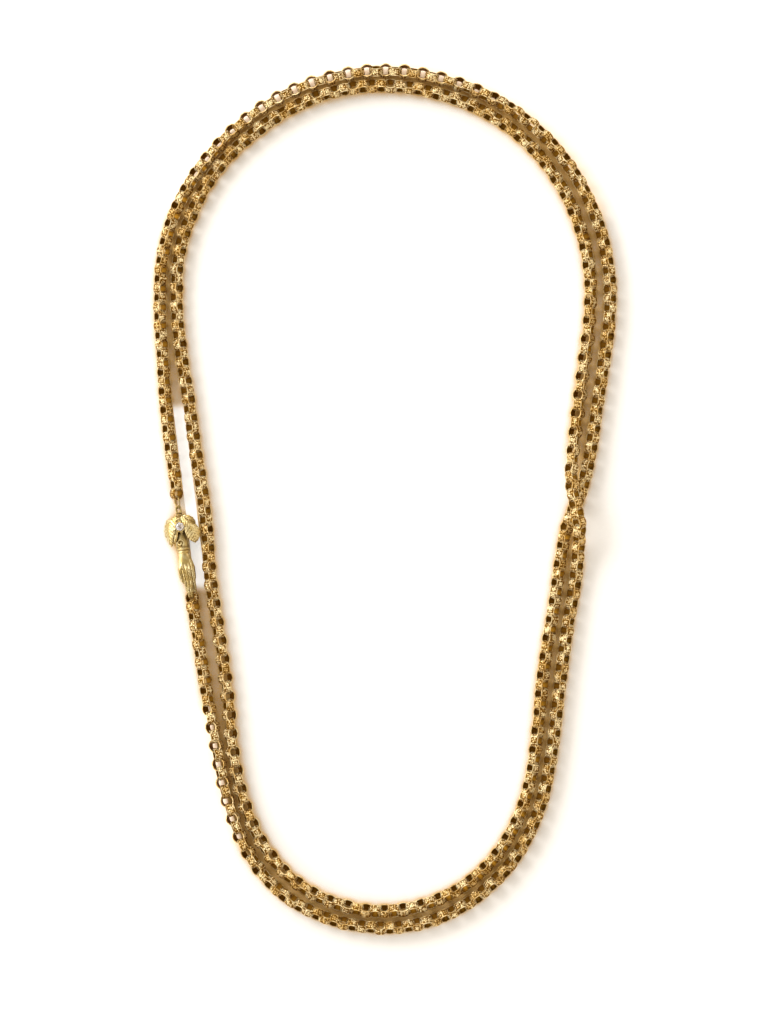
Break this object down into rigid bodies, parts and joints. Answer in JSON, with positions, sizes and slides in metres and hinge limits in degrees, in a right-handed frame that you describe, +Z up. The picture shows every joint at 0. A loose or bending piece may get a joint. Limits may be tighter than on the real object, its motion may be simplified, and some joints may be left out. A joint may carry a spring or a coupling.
{
  "type": "necklace",
  "caption": "Long gold belcher-link chain worn doubled as a necklace, laid flat in an oval, with a cast hand clasp, leaf cuff and a small clear stone.",
  "frame": {"origin": "middle of the bottom face of the box round the necklace as it lies, on the surface", "axes": "+X across the oval towards the side away from the clasp, +Y along the oval towards the clasp's bail, +Z up from the surface"},
  "size_m": [0.1544, 0.2894, 0.0108],
  "materials": {
    "chain_gold": "worn warm yellow gold, engraved bands",
    "clasp_gold": "paler yellow gold, polished with fine scratches",
    "clear_stone": "clear cut stone, polished facets"
  },
  "bodies": {
    "root": {"chain_first_turn": "chain_gold", "chain_second_turn": "chain_gold", "end_link": "chain_gold", "jump_ring": "clasp_gold", "clasp_cuff": "clasp_gold", "cuff_stone": "clear_stone", "clasp_hand": "clasp_gold", "grip_link": "chain_gold"}
  },
  "joints": []
}
